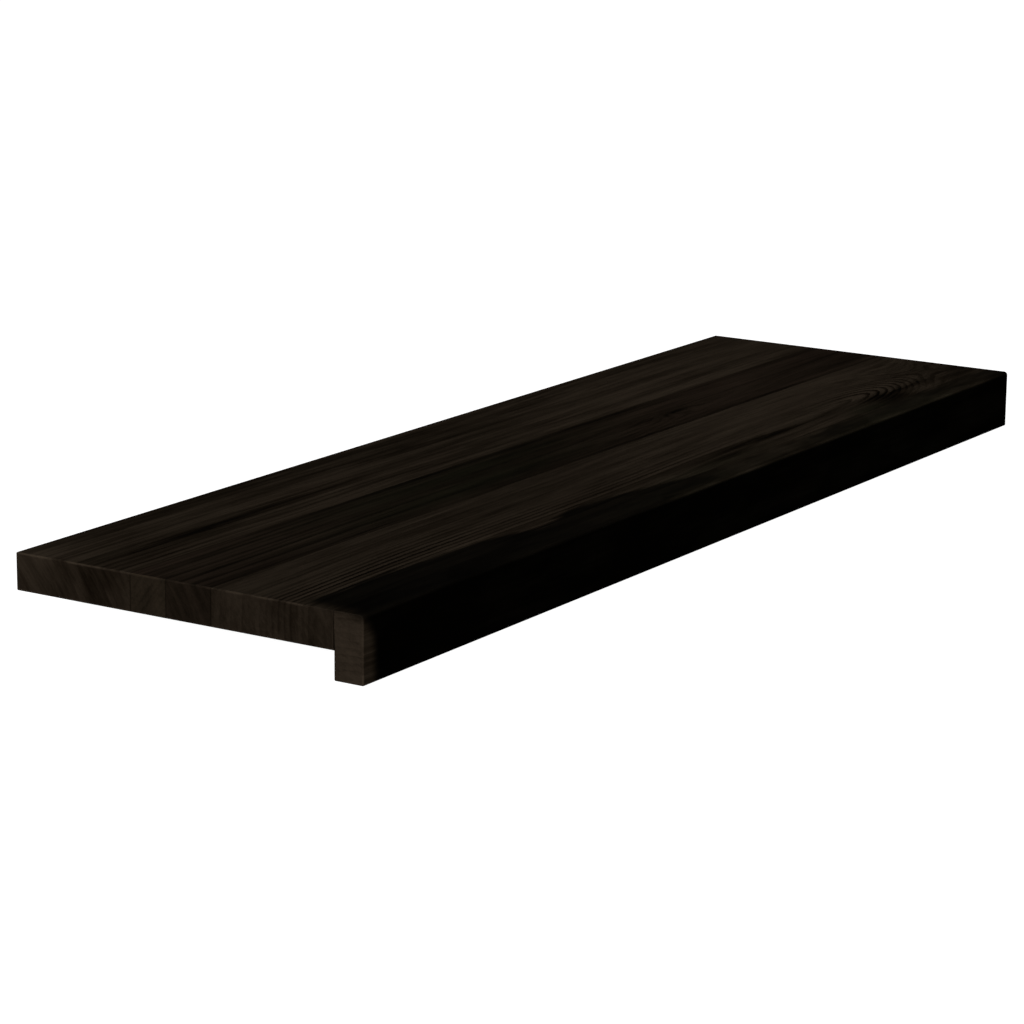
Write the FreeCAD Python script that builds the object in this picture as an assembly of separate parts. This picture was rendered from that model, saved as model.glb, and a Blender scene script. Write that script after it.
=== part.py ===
# Solid wood stair tread: staves glued edge to edge into a board, with a nosing strip glued along
# its front that hangs below it. Sizes are in millimetres.
# X runs along the tread, Y from the nosing back to the rear edge, and Z up.
# The origin is under the middle of the tread, level with the foot of the nosing.

import FreeCAD, Part
import os

# Sizes of the stock

tread_length = 1000.0
board_thickness = 28.0

rear_stave_width = 103.0
rear_middle_stave_width = 31.0
front_middle_stave_width = 39.0
front_stave_width = 103.0

nosing_thickness = 24.0
nosing_drop = 21.0            # how far the nosing hangs below the board

# Sanded edges

nosing_radius = 3.0           # the tread's top front edge, where the foot lands
long_edge_radius = 1.0        # the other outer edges that run along the tread
end_edge_radius = 1.0         # the edges round each end

# The staves in order, from the nosing back to the rear edge

staves = [
    ("front_stave", front_stave_width),
    ("front_middle_stave", front_middle_stave_width),
    ("rear_middle_stave", rear_middle_stave_width),
    ("rear_stave", rear_stave_width),
]

# Faces and levels that follow from the sizes

tread_depth = nosing_thickness + sum(width for name, width in staves)
front_y = -tread_depth / 2
rear_y = tread_depth / 2
nosing_back_y = front_y + nosing_thickness

foot_z = 0.0
underside_z = foot_z + nosing_drop
top_z = underside_z + board_thickness

left_x = -tread_length / 2

# The corners of the tread's section in turn, with the radius that each is sanded to

section_corners = [
    (front_y, foot_z, long_edge_radius),
    (nosing_back_y, foot_z, long_edge_radius),
    (nosing_back_y, underside_z, 0.0),
    (rear_y, underside_z, long_edge_radius),
    (rear_y, top_z, long_edge_radius),
    (front_y, top_z, nosing_radius),
]


def corner_points(corner, before, after, radius):
    """Where a square corner's arc starts, its middle and where it ends."""
    back = (before - corner).normalize()
    ahead = (after - corner).normalize()
    start = corner + back * radius
    end = corner + ahead * radius
    centre = corner + (back + ahead) * radius
    middle = centre - (back + ahead).normalize() * radius
    return start, middle, end


def section_face():
    """The tread's L-shaped section at its left end, its corners rounded."""
    corners = [FreeCAD.Vector(left_x, y, z) for y, z, radius in section_corners]
    radii = [radius for y, z, radius in section_corners]
    edges = []
    last_end = None
    for i, corner in enumerate(corners):
        after = corners[(i + 1) % len(corners)]
        start, middle, end = corner_points(corner, corners[i - 1], after, radii[i])
        if last_end is None:
            first_start = start
        else:
            edges.append(Part.makeLine(last_end, start))
        if radii[i] > 0:
            edges.append(Part.Arc(start, middle, end).toShape())
        last_end = end
    edges.append(Part.makeLine(last_end, first_start))
    return Part.Face(Part.Wire(edges))


def whole_tread():
    """The section drawn out along X, with the edges round both ends sanded."""
    blank = section_face().extrude(FreeCAD.Vector(tread_length, 0, 0))
    end_faces = [face for face in blank.Faces if abs(face.normalAt(0, 0).x) > 0.5]
    end_edges = [edge for face in end_faces for edge in face.Edges]
    return blank.makeFillet(end_edge_radius, end_edges)


def strip_between(tread, near_y, far_y):
    """The stretch of the tread between two glue lines that run its whole length."""
    corner = FreeCAD.Vector(left_x, near_y, foot_z)
    stretch = Part.makeBox(tread_length, far_y - near_y, top_z - foot_z, corner)
    return tread.common(stretch).Solids[0]


def make_pieces():
    tread = whole_tread()
    pieces = {"nosing_strip": strip_between(tread, front_y, nosing_back_y)}
    near_y = nosing_back_y
    for name, width in staves:
        pieces[name] = strip_between(tread, near_y, near_y + width)
        near_y += width
    return pieces


os.makedirs("parts", exist_ok=True)
for name, piece in make_pieces().items():
    piece.exportStep("parts/" + name + ".step")
    print(name, "valid", piece.isValid(), "volume cm3", round(piece.Volume / 1000, 1))
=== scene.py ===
import math

import bmesh
import bpy
from mathutils import Matrix, Vector


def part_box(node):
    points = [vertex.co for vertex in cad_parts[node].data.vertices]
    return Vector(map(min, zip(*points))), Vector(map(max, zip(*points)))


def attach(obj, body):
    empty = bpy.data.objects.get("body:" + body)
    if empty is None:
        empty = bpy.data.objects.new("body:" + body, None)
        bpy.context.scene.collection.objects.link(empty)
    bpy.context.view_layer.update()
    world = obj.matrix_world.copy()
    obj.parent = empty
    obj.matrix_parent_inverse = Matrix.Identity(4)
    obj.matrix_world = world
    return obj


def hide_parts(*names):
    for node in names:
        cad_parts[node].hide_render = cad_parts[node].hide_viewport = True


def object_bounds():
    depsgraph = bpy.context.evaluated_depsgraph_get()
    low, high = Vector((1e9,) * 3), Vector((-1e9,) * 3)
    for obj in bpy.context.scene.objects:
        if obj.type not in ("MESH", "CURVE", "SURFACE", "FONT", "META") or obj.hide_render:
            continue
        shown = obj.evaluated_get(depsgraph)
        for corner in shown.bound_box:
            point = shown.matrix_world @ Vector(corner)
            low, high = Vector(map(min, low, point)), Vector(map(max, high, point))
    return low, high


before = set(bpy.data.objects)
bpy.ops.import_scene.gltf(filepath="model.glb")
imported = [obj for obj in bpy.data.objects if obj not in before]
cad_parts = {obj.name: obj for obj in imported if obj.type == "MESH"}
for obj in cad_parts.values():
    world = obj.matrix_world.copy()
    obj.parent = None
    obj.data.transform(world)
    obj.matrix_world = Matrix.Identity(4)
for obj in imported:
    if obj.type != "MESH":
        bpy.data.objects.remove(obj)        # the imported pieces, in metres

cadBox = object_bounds()
low, high = cadBox
halfLength = high.x
frontY, rearY, footZ, topZ = low.y, high.y, low.z, high.z
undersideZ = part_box("rear_stave")[0].z
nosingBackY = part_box("nosing_strip")[1].y
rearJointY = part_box("rear_stave")[0].y
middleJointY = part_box("rear_middle_stave")[0].y
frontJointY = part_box("front_middle_stave")[0].y
print("frame loaded:", len(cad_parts), "pieces, top at", round(topZ, 4))


# Camera, where the photograph was taken from

cameraSetup = {
    "place": (-2.3411, -1.4478, 0.6678),
    "turnRight": 57.312,       # degrees, from looking straight across the tread
    "lookDown": 13.667,
    "lean": 0.499,
    "lens": 123.9,             # mm
    "sensor": 36.0,            # mm wide
}


def makeCamera():
    camera = bpy.data.objects.new("camera", bpy.data.cameras.new("camera"))
    bpy.context.scene.collection.objects.link(camera)
    camera.data.sensor_width = cameraSetup["sensor"]
    camera.data.lens = cameraSetup["lens"]
    heading = Matrix.Rotation(-math.radians(cameraSetup["turnRight"]), 4, "Z")
    pitch = Matrix.Rotation(math.radians(90 - cameraSetup["lookDown"]), 4, "X")
    lean = Matrix.Rotation(math.radians(cameraSetup["lean"]), 4, "Z")
    camera.matrix_world = Matrix.Translation(cameraSetup["place"]) @ heading @ pitch @ lean
    bpy.context.scene.camera = camera
    print("camera at", cameraSetup["place"])


makeCamera()


# Shader maths: a Wire is one socket, and sums on wires add the nodes

class Wire:
    def __init__(self, tree, socket=None):
        self.tree = tree
        self.socket = socket

    # any node: its type, its settings, then what its sockets hold, and the outlet wanted
    def node(self, kind, settings, sockets, outlet=0):
        node = self.tree.nodes.new("ShaderNode" + kind)
        for name, value in settings.items():
            setattr(node, name, value)
        for name, value in sockets.items():
            if isinstance(value, Wire):
                self.tree.links.new(value.socket, node.inputs[name])
            else:
                node.inputs[name].default_value = value
        return Wire(self.tree, node.outputs[outlet]) if len(node.outputs) else None

    def maths(self, operation, first, second=0.0):
        return self.node("Math", {"operation": operation}, {0: first, 1: second})

    def __add__(self, other):
        return self.maths("ADD", self, other)

    def __radd__(self, other):
        return self.maths("ADD", other, self)

    def __sub__(self, other):
        return self.maths("SUBTRACT", self, other)

    def __rsub__(self, other):
        return self.maths("SUBTRACT", other, self)

    def __mul__(self, other):
        return self.maths("MULTIPLY", self, other)

    def __rmul__(self, other):
        return self.maths("MULTIPLY", other, self)

    def __truediv__(self, other):
        return self.maths("DIVIDE", self, other)

    def __rtruediv__(self, other):
        return self.maths("DIVIDE", other, self)

    def __abs__(self):
        return self.maths("ABSOLUTE", self)


def rise(value, start, end):
    # 0 before start, 1 after end, smooth between
    return value.node("MapRange", {"interpolation_type": "SMOOTHSTEP"}, {0: value, 1: start, 2: end})


def fade(distance):
    # 1 at no distance, falling off like a bell
    return distance.maths("EXPONENT", 0 - distance * distance)


def atLeast(value, least):
    return value.maths("MAXIMUM", value, least)


def hypot(a, b):
    return a.maths("SQRT", a * a + b * b)


def tint(colour, other, amount):
    # a colour moved towards another one; Mix has its colours in sockets 6 and 7, and outlet 2
    other = (*other, 1.0)
    return amount.node("Mix", {"data_type": "RGBA"}, {0: amount, 6: colour, 7: other}, 2)


def shade(colour, factor):
    # a colour made darker or lighter by one number
    return factor.node("VectorMath", {"operation": "SCALE"}, {0: colour, "Scale": factor})


# The noises that make the grain: how often they change in a metre along X, Y and Z, then how
# much finer detail they carry and how strong it is

grain = {
    "wander": ((2.2, 9.0, 9.0), 1.0, 0.5),           # slow bends of the growth rings
    "ripple": ((5.0, 60.0, 60.0), 1.0, 0.5),         # short waves in them
    "crinkle": ((120.0, 70.0, 50.0), 1.0, 0.5),      # the shortest waves
    "streak": ((4.2, 130.0, 80.0), 3.0, 0.55),       # broad bands of colour along the grain
    "fibre": ((15.0, 560.0, 400.0), 3.0, 0.6),       # fine lines of colour
    "hair": ((40.0, 1900.0, 1300.0), 2.0, 0.6),      # the finest lines
    "pore": ((70.0, 1500.0, 1100.0), 1.0, 0.5),      # open pores, short dark dashes
    "cloud": ((9.0, 38.0, 30.0), 3.0, 0.55),         # uneven take-up of the stain
    "saw": ((0.0, 25.0, 900.0), 1.0, 0.5),           # what the saw left on the ends
    "edgeShine": ((70.0, 70.0, 70.0), 3.0, 0.5),          # where the painted highlight on the edges breaks up
}


def noise(point, name, shift):
    # one of the noises above, about 0
    stretch, detail, rough = grain[name]
    spot = point.node("VectorMath", {"operation": "MULTIPLY_ADD"}, {0: point, 1: stretch, 2: shift})
    sockets = {"Vector": spot, "Scale": 1.0, "Detail": detail, "Roughness": rough}
    return point.node("TexNoise", {}, sockets) - 0.5


# Growth rings, each a pale early part that darkens to a thin late line

rings = {
    "wander": 0.014,           # metres that each noise moves them
    "ripple": 0.0010,
    "crinkle": 0.0010,
    "swayShift": (7.1, 3.3, 5.7),      # sets their bends up and down apart from those across
    "tighterFrom": (0.0, 0.40),        # where they come closer together, along X
    "late": (0.35, 0.93),      # where in a ring the late part starts and is darkest
    "early": 0.3,              # how light the early part is
    "uneven": 0.18,            # how much one ring differs from the next
}


def knotDistance(knot, x, y, share=1.0):
    # 1 on the knot's outline, or on the outline of its core for a smaller share of it
    placeX, placeY = knot["place"]
    return hypot((x - placeX) / (knot["reach"] * share), (y - placeY) / (knot["width"] * share))


def ringDistance(wood, point, x, y, z, shift):
    # how far a point is from the log's heart, bent a little, and lifted round each knot
    heartY, heartZ = wood["heart"]
    leanY, leanZ = wood["heartLean"]
    wander = noise(point, "wander", shift) * rings["wander"]
    sway = noise(point, "wander", shift + Vector(rings["swayShift"])) * rings["wander"]
    across = y - x * leanY - heartY + wander
    upward = z - x * leanZ - heartZ + sway
    distance = hypot(across, upward * wood["oval"])
    distance = distance + noise(point, "ripple", shift) * rings["ripple"]
    distance = distance + noise(point, "crinkle", shift) * rings["crinkle"]
    for knot in wood["knots"]:
        distance = distance + fade(knotDistance(knot, x, y)) * (knot["lift"] * wood["ringWidth"])
    return distance


def growthRings(wood, x, distance):
    # how late in its ring a point is, and the ring's own tone
    turns = distance * (1 + rise(x, *rings["tighterFrom"]) * wood["tighter"]) / wood["ringWidth"]
    phase = turns.maths("FRACT", turns)
    start, darkest = rings["late"]
    late = rise(phase, start, darkest) * (1 - rise(phase, darkest, 1.0))
    whole = turns.maths("FLOOR", turns)
    ringTone = turns.node("TexWhiteNoise", {"noise_dimensions": "1D"}, {"W": whole}) - 0.5
    return late, ringTone * rings["uneven"]


def patch(x, y, ragged, mark):
    # a soft oval patch along the grain, with how much it changes at its middle
    placeX, placeY, reach, width, change = mark
    return fade(hypot((x - placeX) / reach, (y - placeY + ragged) / width)) * change


# The near-black band of painted shade along the front: on the top, on the front face and on the nosing's
# ends, with a painted highlight line along its back

frontShade = {
    "width": 0.052,            # at the left end
    "narrows": (-0.22, 0.04),  # from where to where it narrows to the nosing strip
    "pales": (-0.25, 0.02),    # from where to where it grows paler
    "darkens": (0.42, 0.53),   # and dark again
    "notch": (-0.225, 0.050, 0.018),   # a bite out of its back: place, reach along, depth
    "edge": (0.0030, 0.0008),  # how far down from the top the front's tone is whole, and the top's
    "front": 0.92,             # how dark the painted shade is on the front face
    "dark": 0.75,              # and on the top
    "mottled": 0.40,           # how much the uneven stain shows in it
    "pale": 0.34,              # how dark it is on the top where it has paled
    "grey": 0.50,              # how grey it is
    "back": (-0.0050, 0.0020),         # how softly it ends at its back
    "line": 0.20,              # the painted highlight line along its back
    "lineBehind": 0.0030,      # how far behind the band
    "lineWidth": 0.0015,
    "ragged": 2.2,             # how much its back follows the grain
    "cloudy": 0.014,           # and the uneven stain
    "topSkin": (0.0020, 0.0005),       # how far down from the top its painted shade ends, and is whole
    "topEnd": (-0.502, -0.482),        # where the top's dark begins at the left end
    "cornerReach": 0.034,      # how round its outline is at the nosing's ends
    "cornerLift": 0.006,       # how far the outline is lifted there
    "cornerBehind": 0.018,     # how far it goes on behind the nosing there
    "bareFront": (0.018, 0.002),       # how far each end's own colour runs round onto the front, as painted light on the corner
    "cornerFade": (0.010, 0.002),      # how softly it ends, inside that outline and outside
    "cornerDark": 0.95,        # how dark the painted shade is on the ends, beyond that outline
    "noEdgeHighlight": (0.1, 0.6),      # the painted edge highlight fades where the painted shade is darker than this
}


def frontBand(x, y, z, ragged, cloud):
    # how dark the painted shade band is at a point, and the painted highlight line behind it
    stripWidth = nosingBackY - frontY
    narrow = rise(x, *frontShade["narrows"])
    pale = rise(x, *frontShade["pales"]) * (1 - rise(x, *frontShade["darkens"]))
    below, above = frontShade["edge"]
    onTop = rise(z, topZ - below, topZ - above)
    dark = frontShade["front"] - onTop * (frontShade["front"] - frontShade["dark"])
    notchX, notchReach, notchDepth = frontShade["notch"]
    width = frontShade["width"] - narrow * (frontShade["width"] - stripWidth)
    width = width - fade((x - notchX) / notchReach) * notchDepth
    inside = y - frontY - width + ragged * frontShade["ragged"] + cloud * frontShade["cloudy"]
    depth = dark - pale * onTop * (frontShade["dark"] - frontShade["pale"] + cloud)
    depth = depth - cloud * frontShade["mottled"]
    # the painted highlight line along the band's back
    line = fade((inside - frontShade["lineBehind"]) / frontShade["lineWidth"])
    return (1 - rise(inside, *frontShade["back"])) * depth, line * (1 - pale) * frontShade["line"]


def paintedCornerShade(x, y, z):
    # 0 where the nosing's ends keep their own colour, which also runs round onto the front as painted
    # light; 1 where they take the painted shade
    reach = frontShade["cornerReach"]
    bareLeft, bareRight = frontShade["bareFront"]
    bare = bareLeft - rise(x, -halfLength, halfLength) * (bareLeft - bareRight)
    alongFront = y - frontY - halfLength + abs(x) + bare
    upFront = z - topZ + reach - frontShade["cornerLift"]
    away = hypot(atLeast(reach - alongFront, 0.0), atLeast(upFront, 0.0))
    behind = rise(y, nosingBackY, nosingBackY + frontShade["cornerBehind"])
    inside, outside = frontShade["cornerFade"]
    return rise(away, reach - inside, reach + outside) * (1 - behind)


# The sanded edges, with a painted highlight along them that breaks up in places

edgeShine = {
    "edge": (0.0008, 0.0017),  # painted highlight up to so far from both faces, and none from there on
    "patchy": (-0.15, 0.10),   # between these its noise breaks the painted highlight up
    "tone": 0.6,               # how much lighter the painted highlight makes the wood
}


def highlightedEdges(wood, point, x, y, z, shift):
    # 1 on the edges with the painted highlight, found by how far a point is from the two faces that meet
    # there
    depths = {
        "end": halfLength - abs(x),
        "top": topZ - z,
        "underside": z - undersideZ,
        "rear": rearY - y,
        "front": y - frontY,
        "foot": z - footZ,
        "nosingBack": nosingBackY - y,
    }
    edgeHighlight = 0.0
    for one, other in wood["highlightedEdges"]:
        edge = 1 - rise(hypot(depths[one], depths[other]), *edgeShine["edge"])
        edgeHighlight = atLeast(edge, edgeHighlight)
    return edgeHighlight * rise(noise(point, "edgeShine", shift), *edgeShine["patchy"])


# How strongly all these show in the wood

show = {
    "fibre": 1.20,             # how much lighter or darker each makes it
    "hair": 0.60,
    "cloud": 0.80,
    "pore": 0.28,
    "poreFrom": (0.12, 0.24),  # how much of its noise is pores
    "poreInLate": 0.3,         # how many pores the late part of a ring keeps
    "ragged": 0.004,           # metres that the grain moves the outlines of marks
    "lighterFrom": (-0.10, 0.20),      # where the painted sheen makes the staves lighter, along X
    "deepMarks": 0.3,          # how strong marks are on the underside
    "knotCore": 0.5,           # how much of a knot is dark
    "darkest": 0.07,           # no tone goes below it
    "green": 0.08,             # how green the wood is all over
    "greenCloud": 0.30,        # and how much more where the stain is thick
    "greenRagged": 4.0,        # how much more ragged the green patches are than the marks
    "glueTone": 0.6,           # the hairline of glue in a joint
    "glueWidth": (0.0002, 0.0007),
    "toneRange": (0.1, 1.6),   # the tones of the stave's dark colour and its light one
    "shine": 0.05,             # matt oil
    "bump": 0.5,
    "bumpHeight": 0.00012,     # metres
}

endGrain = {
    "from": (0.0011, 0.0004),  # how far in from the end it starts and is whole
    "contrast": 0.10,          # how much weaker the rings are
    "ringMarks": 0.82,         # what share of the marked rings it loses
    "alongGrain": 0.45,        # and of the streaks, fibres and hairs
}

relief = {"hair": 0.35, "fibre": 0.80, "saw": 0.80, "pore": 0.90, "late": 0.25}
roughness = {"plain": 0.60, "pore": 0.15, "late": 0.08, "edgeHighlight": 0.10, "cloud": 0.15}


def woodTone(wood, point, shift):
    # how light or dark the stained wood is, about 1, how green, how much painted shade, its relief and
    # roughness
    x, y, z = (point.node("SeparateXYZ", {}, {0: point}, axis) for axis in "XYZ")
    distance = ringDistance(wood, point, x, y, z, shift)
    late, ringTone = growthRings(wood, x, distance)

    # lines along the grain follow the rings round a knot
    run = point.node("CombineXYZ", {}, {0: x, 1: distance, 2: y - z})
    streak, fibre, hair = (noise(run, name, shift) for name in ("streak", "fibre", "hair"))
    pore = rise(noise(run, "pore", shift), *show["poreFrom"])
    pore = pore * (1 - late * (1 - show["poreInLate"]))
    cloud = noise(point, "cloud", shift)
    ragged = (fibre + streak) * show["ragged"]

    # the rings stand out more in some places than in others
    endStarts, endWhole = endGrain["from"]
    end = rise(abs(x), halfLength - endStarts, halfLength - endWhole)
    contrast = wood["ringContrast"] - end * endGrain["contrast"]
    for mark in wood["ringMarks"]:
        contrast = contrast + patch(x, y, ragged, mark) * (1 - end * endGrain["ringMarks"])
    alongGrain = streak * wood["streaks"] + fibre * show["fibre"] + hair * show["hair"]
    tone = 1 + alongGrain * (1 - end * endGrain["alongGrain"]) + cloud * show["cloud"]
    tone = tone + ringTone + (rings["early"] - late) * contrast - pore * show["pore"]
    # painted sheen: the staves grow lighter towards the right end
    tone = tone + rise(x, *show["lighterFrom"]) * wood["sheenDrift"]

    # dark and light marks are strongest on the top
    nearTop = rise(z, undersideZ, topZ) * (1 - show["deepMarks"]) + show["deepMarks"]
    for mark in wood["marks"]:
        tone = tone + patch(x, y, ragged, mark) * nearTop
    for knot in wood["knots"]:
        tone = tone - fade(knotDistance(knot, x, y, show["knotCore"])) * knot["dark"]

    # the ends took the stain in their own way
    tone = tone * (1 + end * (wood["endTone"] - 1))
    edgeHighlight = highlightedEdges(wood, point, x, y, z, shift)
    paintedShade = None
    # painted shade along the front, on the front face and on the nosing's ends, with a painted highlight
    # line behind it on the top
    if wood["hasPaintedShade"]:
        band, line = frontBand(x, y, z, ragged, cloud)
        below, above = frontShade["topSkin"]
        onTop = rise(z, topZ - below, topZ - above)
        paintedShade = atLeast(paintedCornerShade(x, y, z), onTop * (1 - end) * rise(x, *frontShade["topEnd"]))
        paintedShade = paintedShade * ((1 - end) * band + end * frontShade["cornerDark"])
        tone = tone * (1 - paintedShade) + (1 - end) * line
        edgeHighlight = edgeHighlight * (1 - rise(atLeast(paintedShade, onTop * band), *frontShade["noEdgeHighlight"]))

    # a dark hairline of glue in each joint, and a painted highlight on the sanded edges
    for jointY in wood["joints"]:
        clear = rise(abs(y - jointY), *show["glueWidth"])
        tone = tone * (show["glueTone"] + clear * (1 - show["glueTone"]))
    tone = atLeast(tone + edgeHighlight * edgeShine["tone"], show["darkest"])

    green = show["green"] + cloud * show["greenCloud"]
    for mark in wood["casts"]:
        green = green + patch(x, y, ragged * show["greenRagged"], mark)
    green = atLeast(green * (1 - end) + end * wood["endCast"], 0.0)

    saw = noise(point, "saw", shift) * end
    height = hair * relief["hair"] + fibre * relief["fibre"] + saw * relief["saw"]
    height = height - pore * relief["pore"] - late * relief["late"]
    rough = roughness["plain"] + pore * roughness["pore"] - late * roughness["late"]
    rough = rough - edgeHighlight * roughness["edgeHighlight"] + cloud * roughness["cloud"]
    return tone, green, paintedShade, height, rough


def woodMaterial(wood):
    material = bpy.data.materials.new(wood["finish"])
    material.use_nodes = True
    tree = material.node_tree
    tree.nodes.clear()
    point = Wire(tree).node("TexCoord", {}, {}, "Object")
    tone, green, paintedShade, height, rough = woodTone(wood, point, Vector(wood["cut"]))
    dark, light = wood["colours"]
    colour = tint((*dark, 1.0), light, rise(tone, *show["toneRange"]))
    colour = tint(colour, greenCast, green)
    # the painted shade is greyer
    if wood["hasPaintedShade"]:
        colour = tint(colour, paintedShadeGrey, paintedShade * frontShade["grey"])
    colour = shade(colour, tone * wood["lightness"])
    bump = {"Strength": show["bump"], "Distance": show["bumpHeight"], "Height": height}
    surface = point.node("BsdfPrincipled", {}, {
        "Base Color": colour,
        "Roughness": rough,
        "Specular IOR Level": show["shine"],
        "Normal": point.node("Bump", {}, bump),
    })
    point.node("OutputMaterial", {}, {"Surface": surface})
    return material


# Each stave is cut as a block, then its outer edges are sanded round

sanding = {
    "edge": (0.001, 4),        # every outer edge: radius, and the flats that make it
    "nosing": (0.003, 10),     # the top front edge
    "sharpAbove": 50.0,        # degrees between two faces
    "levelFlats": 100,         # how strongly the flat faces lead the shading
}
tiny = 1e-5


def sand(block, edges, radius, steps):
    bmesh.ops.bevel(
        block, geom=edges, offset=radius, offset_type="OFFSET", segments=steps,
        profile=0.5, affect="EDGES", clamp_overlap=False,
    )


def cutBlock(corners):
    # a prism as long as the tread, with this section
    block = bmesh.new()
    start = block.faces.new([block.verts.new((-halfLength, y, z)) for y, z in corners])
    grown = bmesh.ops.extrude_face_region(block, geom=[start])
    moved = [item for item in grown["geom"] if isinstance(item, bmesh.types.BMVert)]
    bmesh.ops.translate(block, verts=moved, vec=(2 * halfLength, 0, 0))
    bmesh.ops.recalc_face_normals(block, faces=block.faces)
    return block


def longEdges(block, y, z):
    # the edge that runs the whole length at one corner of the section
    found = []
    for edge in block.edges:
        a, b = (vert.co for vert in edge.verts)
        middle = (a + b) / 2
        if abs(a.x - b.x) > halfLength and math.hypot(middle.y - y, middle.z - z) < tiny:
            found.append(edge)
    return found


def endEdges(block, joints):
    # the edges round both ends, but for those on a glued face
    found = []
    for edge in block.edges:
        a, b = (vert.co for vert in edge.verts)
        middle = (a + b) / 2
        atEnd = abs(a.x - b.x) < tiny and abs(a.x) > halfLength - tiny
        glued = any(abs(middle.y - jointY) < tiny and middle.z > undersideZ for jointY in joints)
        if atEnd and not glued:
            found.append(edge)
    return found


def makePiece(wood):
    near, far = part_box(wood["node"])
    corners = [(near.y, near.z), (far.y, near.z), (far.y, far.z), (near.y, far.z)]
    if near.z < undersideZ - tiny:
        corners.insert(2, (far.y, undersideZ))
    block = cutBlock(corners)
    for y, z, sanded in wood["longEdges"]:
        sand(block, longEdges(block, y, z), *sanding[sanded])
    sand(block, endEdges(block, wood["joints"]), *sanding["edge"])
    mesh = bpy.data.meshes.new(wood["piece"])
    block.to_mesh(mesh)
    block.free()
    mesh.shade_smooth()
    mesh.set_sharp_from_angle(angle=math.radians(sanding["sharpAbove"]))
    piece = bpy.data.objects.new(wood["piece"], mesh)
    bpy.context.scene.collection.objects.link(piece)
    flats = piece.modifiers.new("level flats", "WEIGHTED_NORMAL")
    flats.weight = sanding["levelFlats"]
    flats.keep_sharp = True
    mesh.materials.append(woodMaterial(wood))
    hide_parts(wood["node"])
    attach(piece, "root")
    print("made", wood["piece"], "with", len(mesh.polygons), "faces")


# Colours of the stained wood, where it is darkest and where it is lightest

paleStave = ((0.0150, 0.0098, 0.0055), (0.0270, 0.0197, 0.0135))
darkStave = ((0.0100, 0.0067, 0.0040), (0.0180, 0.0118, 0.0082))
greenCast = (0.0095, 0.0098, 0.0050)
# the grey of the painted shade along the front
paintedShadeGrey = (0.0098, 0.0098, 0.0080)

rearStave = {
    "piece": "rearStave",
    "node": "rear_stave",
    "slot": "light_stave_wood",
    "finish": "rear stave wood",
    "colours": paleStave,
    "cut": (0.0, 0.0, 0.0),    # shifts the noises, so that no two staves match
    "heart": (0.245, -0.030),  # the log's heart, in metres along Y and Z
    "heartLean": (0.010, 0.020),       # how far it moves off in a metre of stave
    "oval": 1.0,               # 1 for round rings, less for rings that stand tall
    "ringWidth": 0.0064,
    "ringContrast": 0.20,
    "tighter": 0.1,            # how much closer the rings are at the right end
    "streaks": 1.60,           # how strong the broad bands of colour are
    "sheenDrift": 0.12,             # how much lighter the painted sheen makes the right half
    "lightness": 1.17,
    "endTone": 0.91,           # the sawn ends against the rest
    "endCast": 0.0,            # how green they are
    "hasPaintedShade": False,          # whether the painted shade along the front reaches it
    "marks": [                 # x, y, reach along, reach across, lighter or darker
        (-0.380, 0.0840, 0.140, 0.0055, -0.50),
        (-0.430, 0.0710, 0.130, 0.0120, -0.22),
        (-0.330, 0.1150, 0.090, 0.0100, -0.10),
        (-0.170, 0.1390, 0.160, 0.0130, -0.28),
        (0.040, 0.1080, 0.140, 0.0260, -0.30),
        (-0.170, 0.1140, 0.070, 0.0100, 0.22),
        (-0.230, 0.0580, 0.070, 0.0080, 0.25),
        (-0.010, 0.0580, 0.070, 0.0070, -0.25),
        (-0.500, 0.1300, 0.028, 0.0220, 0.45),
        (0.110, 0.0870, 0.050, 0.0080, 0.35),
        (0.260, 0.0870, 0.080, 0.0060, 0.35),
        (0.180, 0.0540, 0.180, 0.0050, 0.35),
        (0.200, 0.0760, 0.120, 0.0100, 0.20),
        (0.300, 0.1370, 0.080, 0.0140, -0.12),
        (-0.500, 0.1100, 0.006, 0.0100, -0.20),
    ],
    "ringMarks": [             # where the rings show more
        (-0.350, 0.060, 0.200, 0.030, 0.20),
    ],
    "casts": [],               # where it is greener, laid out as the marks are
    "knots": [],
    "joints": [rearJointY],    # its glued faces
    "longEdges": [(rearY, topZ, "edge"), (rearY, undersideZ, "edge")],
    "highlightedEdges": [             # the two faces that meet at each edge with the painted highlight
        ("end", "top"),
        ("end", "underside"),
        ("end", "rear"),
        ("rear", "top"),
        ("rear", "underside"),
    ],
}

rearMiddleStave = {
    "piece": "rearMiddleStave",
    "node": "rear_middle_stave",
    "slot": "dark_stave_wood",
    "finish": "rear middle stave wood",
    "colours": darkStave,
    "cut": (3.0, 11.0, 5.0),
    "heart": (-0.110, -0.060),
    "heartLean": (-0.008, 0.010),
    "oval": 1.0,
    "ringWidth": 0.0050,
    "ringContrast": 0.22,
    "tighter": 0.1,
    "streaks": 1.50,
    "sheenDrift": 0.10,
    "lightness": 1.12,
    "endTone": 1.52,
    "endCast": 0.30,
    "hasPaintedShade": False,
    "marks": [
        (-0.120, 0.0440, 0.230, 0.0026, -0.50),
        (-0.120, 0.0310, 0.240, 0.0160, -0.22),
        (-0.430, 0.0330, 0.060, 0.0040, -0.30),
        (0.000, 0.0390, 0.040, 0.0080, -0.32),
        (0.280, 0.0280, 0.160, 0.0120, 0.18),
        (0.260, 0.0440, 0.240, 0.0028, -0.30),
        (-0.500, 0.0300, 0.070, 0.0200, 0.18),
    ],
    "ringMarks": [(-0.380, 0.030, 0.120, 0.020, 0.25)],
    "casts": [(-0.120, 0.0300, 0.200, 0.0160, 0.55)],
    "knots": [],
    "joints": [rearJointY, middleJointY],
    "longEdges": [],
    "highlightedEdges": [("end", "top"), ("end", "underside")],
}

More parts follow.
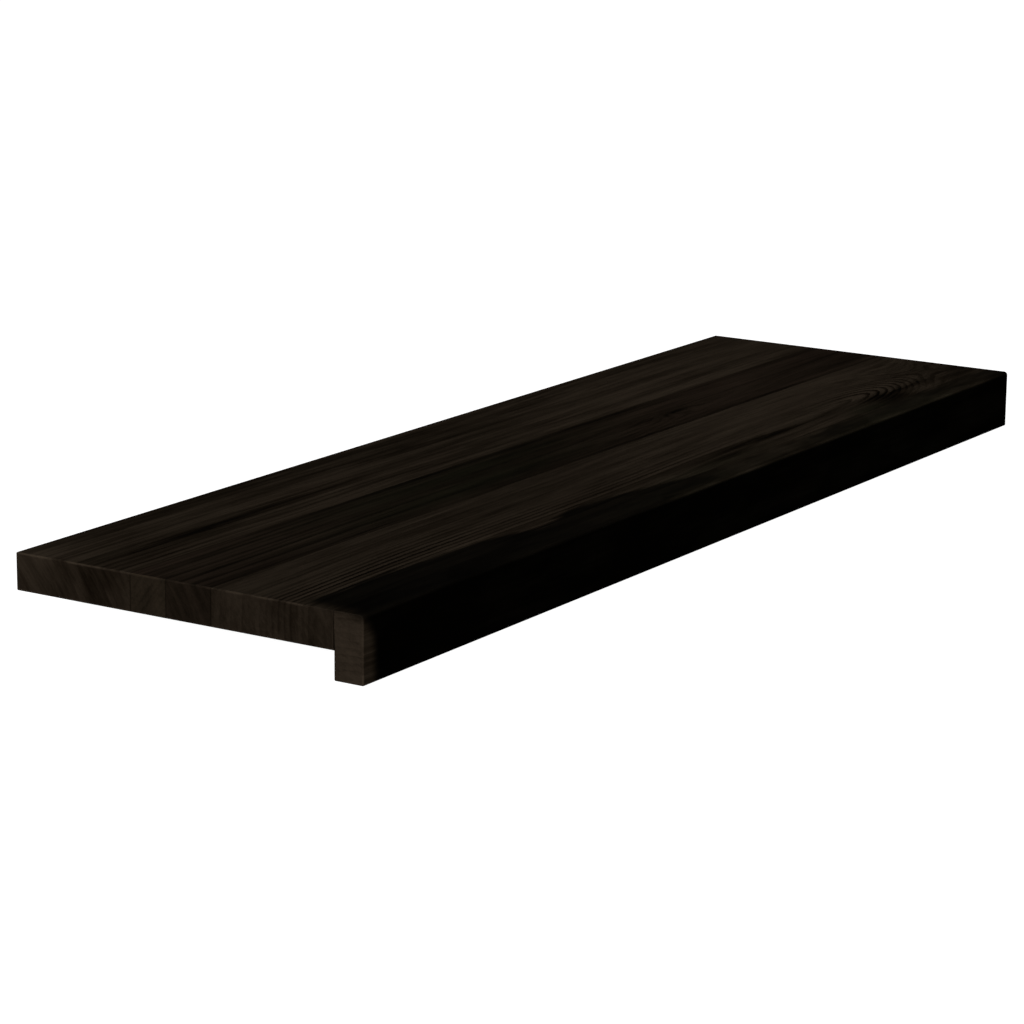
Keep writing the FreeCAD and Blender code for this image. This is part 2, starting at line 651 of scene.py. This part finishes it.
frontMiddleStave = {
    "piece": "frontMiddleStave",
    "node": "front_middle_stave",
    "slot": "dark_stave_wood",
    "finish": "front middle stave wood",
    "colours": darkStave,
    "cut": (8.0, 2.0, 9.0),
    "heart": (0.190, -0.050),
    "heartLean": (0.006, -0.012),
    "oval": 1.0,
    "ringWidth": 0.0056,
    "ringContrast": 0.22,
    "tighter": 0.2,
    "streaks": 1.50,
    "sheenDrift": 0.08,
    "lightness": 1.08,
    "endTone": 1.04,
    "endCast": 0.15,
    "hasPaintedShade": False,
    "marks": [
        (-0.160, 0.0040, 0.200, 0.0120, -0.20),
        (-0.500, 0.0000, 0.060, 0.0200, 0.16),
        (-0.440, 0.0050, 0.050, 0.0040, -0.35),
        (0.060, -0.0205, 0.380, 0.0022, -0.40),
        (0.170, 0.0070, 0.045, 0.0055, -0.25),
        (0.300, 0.0000, 0.140, 0.0120, 0.15),
    ],
    "ringMarks": [(-0.350, 0.008, 0.120, 0.012, 0.35)],
    "casts": [(-0.150, 0.0000, 0.180, 0.0160, 0.60)],
    "knots": [
        {"place": (0.185, 0.0080), "reach": 0.034, "width": 0.0080, "lift": 2.6, "dark": 0.65},
    ],
    "joints": [middleJointY, frontJointY],
    "longEdges": [],
    "highlightedEdges": [("end", "top"), ("end", "underside")],
}

frontStave = {
    "piece": "frontStave",
    "node": "front_stave",
    "slot": "light_stave_wood",
    "finish": "front stave wood",
    "colours": paleStave,
    "cut": (5.0, 7.0, 2.0),
    "heart": (-0.101, 0.0115),
    "heartLean": (0.030, -0.045),
    "oval": 0.2,
    "ringWidth": 0.0050,
    "ringContrast": 0.18,
    "tighter": 0.30,
    "streaks": 1.30,
    "sheenDrift": 0.22,
    "lightness": 1.04,
    "endTone": 1.00,
    "endCast": 0.0,
    "hasPaintedShade": True,
    "marks": [
        (-0.430, -0.0400, 0.110, 0.0180, 0.16),
        (-0.150, -0.0520, 0.080, 0.0140, -0.20),
        (0.130, -0.1030, 0.065, 0.0042, -0.95),
        (0.055, -0.1130, 0.050, 0.0050, -0.65),
        (0.280, -0.1050, 0.220, 0.0070, -0.30),
        (0.220, -0.0620, 0.220, 0.0340, 0.16),
        (0.380, -0.0330, 0.180, 0.0120, 0.20),
        (0.343, -0.1150, 0.032, 0.0120, -1.00),
        (0.368, -0.1060, 0.042, 0.0034, -0.65),
        (0.460, -0.1180, 0.060, 0.0090, -0.35),
        (0.295, -0.1230, 0.045, 0.0110, -0.35),
        (0.500, -0.0850, 0.075, 0.0550, -0.35),
        (-0.500, -0.1280, 0.006, 0.0140, 0.22),
    ],
    "ringMarks": [
        (-0.420, -0.0830, 0.170, 0.0160, 0.95),
        (-0.080, -0.0900, 0.260, 0.0100, 0.65),
        (0.355, -0.0870, 0.070, 0.0190, 1.05),
    ],
    "casts": [(0.290, -0.1250, 0.036, 0.0140, 0.65), (0.000, -0.1200, 0.110, 0.0120, 0.35)],
    "knots": [                 # a wide swelling that makes the arches near the right end
        {"place": (0.455, -0.0865), "reach": 0.080, "width": 0.0480, "lift": 7.0, "dark": 0.0},
    ],
    "joints": [frontJointY, nosingBackY],
    "longEdges": [],
    "highlightedEdges": [("end", "top"), ("end", "underside")],
}

nosingStrip = {
    "piece": "nosingStrip",
    "node": "nosing_strip",
    "slot": "nosing_wood",
    "finish": "nosing wood",
    "colours": paleStave,
    "cut": (1.0, 4.0, 8.0),
    "heart": (-0.138, -0.120),
    "heartLean": (0.008, 0.022),
    "oval": 1.0,
    "ringWidth": 0.0052,
    "ringContrast": 0.22,
    "tighter": 0.1,
    "streaks": 0.9,
    "sheenDrift": 0.10,
    "lightness": 1.04,
    "endTone": 1.53,
    "endCast": 0.0,
    "hasPaintedShade": True,
    "marks": [(0.300, -0.1420, 0.140, 0.0140, 0.20)],
    "ringMarks": [],
    "casts": [(0.280, -0.1420, 0.140, 0.0140, 0.55), (-0.060, -0.1400, 0.120, 0.0140, 0.40)],
    "knots": [],
    "joints": [nosingBackY],
    "longEdges": [(frontY, topZ, "nosing"), (frontY, footZ, "edge"), (nosingBackY, footZ, "edge")],
    "highlightedEdges": [
        ("end", "top"),
        ("end", "foot"),
        ("end", "front"),
        ("front", "top"),
        ("front", "foot"),
        ("nosingBack", "foot"),
    ],
}

for wood in (rearStave, rearMiddleStave, frontMiddleStave, frontStave, nosingStrip):
    makePiece(wood)


# A pale floor that runs out of the picture, and soft lamps

studio = {
    "floorSize": 60.0,
    "floorDrop": 0.0002,       # keeps the floor just clear of the nosing's foot
    "floorGlow": 0.965,
    "floorColour": 0.45,
    "lamps": {                 # place, size, watts, and whether it shines in the wood
        "overheadSoftbox": ((-1.0, -0.1, 6.0), 3.0, 95.0, True),
        "leftEndSoftbox": ((-6.0, 0.3, 1.3), 2.0, 150.0, False),
        "rightEndFill": ((6.0, -0.3, 0.8), 2.0, 60.0, False),
        "rearFill": ((-1.5, 5.0, 1.5), 2.0, 40.0, False),
        "frontFill": ((-0.2, -4.5, 0.6), 1.0, 80.0, False),
    },
}


def makeFloor():
    half = studio["floorSize"] / 2
    mesh = bpy.data.meshes.new("floor")
    corners = [(-half, -half), (half, -half), (half, half), (-half, half)]
    mesh.from_pydata([(x, y, footZ - studio["floorDrop"]) for x, y in corners], [], [(0, 1, 2, 3)])
    floor = bpy.data.objects.new("floor", mesh)
    bpy.context.scene.collection.objects.link(floor)
    floor.visible_diffuse = False      # the tread's shaded faces stay near black
    floor.visible_glossy = False
    material = bpy.data.materials.new("pale floor")
    material.use_nodes = True
    surface = material.node_tree.nodes["Principled BSDF"]
    grey = studio["floorColour"]
    glow = studio["floorGlow"]
    surface.inputs["Base Color"].default_value = (grey, grey, grey, 1.0)
    surface.inputs["Roughness"].default_value = 1.0
    surface.inputs["Specular IOR Level"].default_value = 0.0
    surface.inputs["Emission Color"].default_value = (glow, glow, glow, 1.0)
    surface.inputs["Emission Strength"].default_value = 1.0
    mesh.materials.append(material)


def makeLamps():
    for name, (place, size, watts, shines) in studio["lamps"].items():
        lamp = bpy.data.objects.new(name, bpy.data.lights.new(name, "AREA"))
        lamp.data.shape = "SQUARE"
        lamp.data.size = size
        lamp.data.energy = watts
        lamp.location = place
        lamp.rotation_euler = Vector(place).to_track_quat("Z", "Y").to_euler()
        lamp.visible_glossy = shines
        bpy.context.scene.collection.objects.link(lamp)
    world = bpy.data.worlds.new("dark room")
    world.use_nodes = True
    world.node_tree.nodes["Background"].inputs["Color"].default_value = (0.0, 0.0, 0.0, 1.0)
    bpy.context.scene.world = world
    bpy.context.scene.view_settings.view_transform = "Standard"


makeFloor()
makeLamps()
print("studio lit by", len(studio["lamps"]), "soft lamps")
